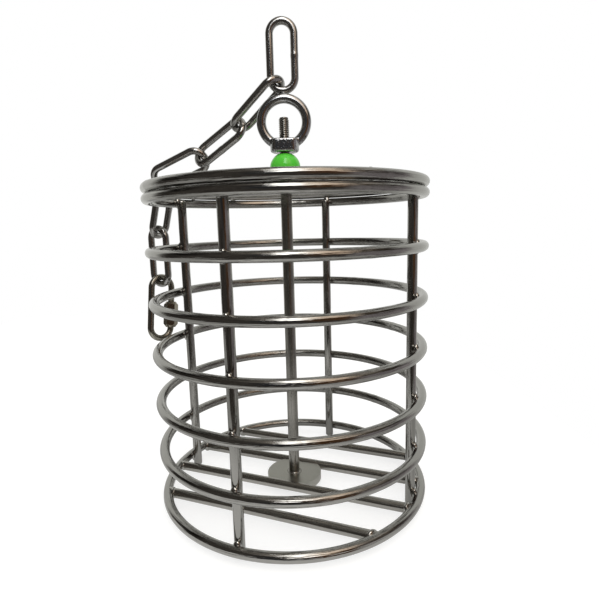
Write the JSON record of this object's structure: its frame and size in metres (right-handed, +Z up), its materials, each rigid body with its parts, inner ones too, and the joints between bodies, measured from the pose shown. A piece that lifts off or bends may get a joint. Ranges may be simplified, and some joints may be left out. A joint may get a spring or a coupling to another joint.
{
  "type": "hanging wire feeder basket",
  "caption": "Hanging wire basket for feeding pet birds: welded steel hoops with a floor and a lift-off lid, a centre rod, a green bead, an eye nut and a short chain with a quick link.",
  "frame": {"origin": "on the floor, on the centre rod's axis", "axes": "+Z up along the centre rod, X along the floor bars, the front is -Y"},
  "size_m": [0.1784, 0.1574, 0.2705],
  "materials": {
    "wire": "polished stainless steel wire",
    "plate": "turned stainless steel, duller than the wire",
    "rod": "drawn stainless steel rod",
    "bead": "glossy bright green",
    "eye_nut": "cast and tumbled stainless steel",
    "chain": "polished stainless steel",
    "quick_link": "polished stainless steel",
    "sleeve": "polished steel with a warm cast"
  },
  "bodies": {
    "basket": {"base_ring": "wire", "hoop_1": "wire", "hoop_2": "wire", "hoop_3": "wire", "hoop_4": "wire", "hoop_5": "wire", "rim_ring": "wire", "upright_right": "wire", "upright_back": "wire", "upright_left": "wire", "upright_front": "wire", "floor_bar_1": "wire", "floor_bar_2": "wire", "floor_bar_3": "wire", "floor_bar_4": "wire", "floor_plate": "plate", "centre_rod": "rod"},
    "lid": {"lid_ring": "wire", "lid_bar_1": "wire", "lid_bar_2": "wire", "lid_bar_3": "wire", "lid_bar_4": "wire", "lid_plate": "plate"},
    "bead": {"spacer_bead": "bead"},
    "eye_nut": {"eye_nut": "eye_nut"},
    "link_1": {"chain_link_1": "chain"},
    "link_2": {"chain_link_2": "chain"},
    "link_3": {"chain_link_3": "chain"},
    "link_4": {"chain_link_4": "chain"},
    "link_5": {"chain_link_5": "chain"},
    "link_6": {"chain_link_6": "chain"},
    "quick_link": {"quick_link": "quick_link"},
    "sleeve": {"quick_link_sleeve": "sleeve"}
  },
  "joints": [
    {"name": "lid_lift", "type": "slide", "parent": "basket", "child": "lid", "axis": [0, 0, 1], "range_m": [0, 0.045]},
    {"name": "bead_lift", "type": "slide", "parent": "basket", "child": "bead", "axis": [0, 0, 1], "range_m": [0, 0.06]},
    {"name": "eye_turn", "type": "hinge", "parent": "bead", "child": "eye_nut", "pos_m": [0, 0, 0.2], "axis": [0, 0, 1], "continuous": true},
    {"name": "link_1_swing", "type": "hinge", "parent": "eye_nut", "child": "link_1", "pos_m": [-0.00078, 0.00199, 0.23913], "axis": [-0.3665, 0.9304, 0], "range_deg": [0, 80]},
    {"name": "link_2_swing", "type": "hinge", "parent": "link_1", "child": "link_2", "pos_m": [-0.00559, 0.00009, 0.23479], "axis": [0.5981, 0.2356, -0.766], "range_deg": [0, 60]},
    {"name": "link_3_swing", "type": "hinge", "parent": "link_2", "child": "link_3", "pos_m": [-0.02986, 0.0003, 0.21471], "axis": [0.0973, 0.9895, -0.1072], "range_deg": [0, 35]},
    {"name": "link_4_swing", "type": "hinge", "parent": "link_3", "child": "link_4", "pos_m": [-0.05725, 0.00054, 0.19915], "axis": [-0.4234, 0.5037, 0.753], "range_deg": [0, 60]},
    {"name": "link_5_swing", "type": "hinge", "parent": "link_4", "child": "link_5", "pos_m": [-0.0826, 0.00076, 0.18475], "axis": [0.8882, 0.4346, -0.1488], "range_deg": [-3, 12]},
    {"name": "link_6_swing", "type": "hinge", "parent": "link_5", "child": "link_6", "pos_m": [-0.09094, 0.00084, 0.15438], "axis": [0.0092, 1, 0], "range_deg": [0, 90]},
    {"name": "quick_link_swing", "type": "hinge", "parent": "link_6", "child": "quick_link", "pos_m": [-0.09094, 0.00084, 0.12288], "axis": [-0.9832, 0.1827, 0], "range_deg": [-20, 90]},
    {"name": "sleeve_travel", "type": "slide", "parent": "quick_link", "child": "sleeve", "axis": [-0.0197, 0.1725, 0.9848], "range_m": [0, 0.008]}
  ],
  "couplings": [
    {"joint": "bead_lift", "follows": "lid_lift", "ratio": 1.3333}
  ]
}
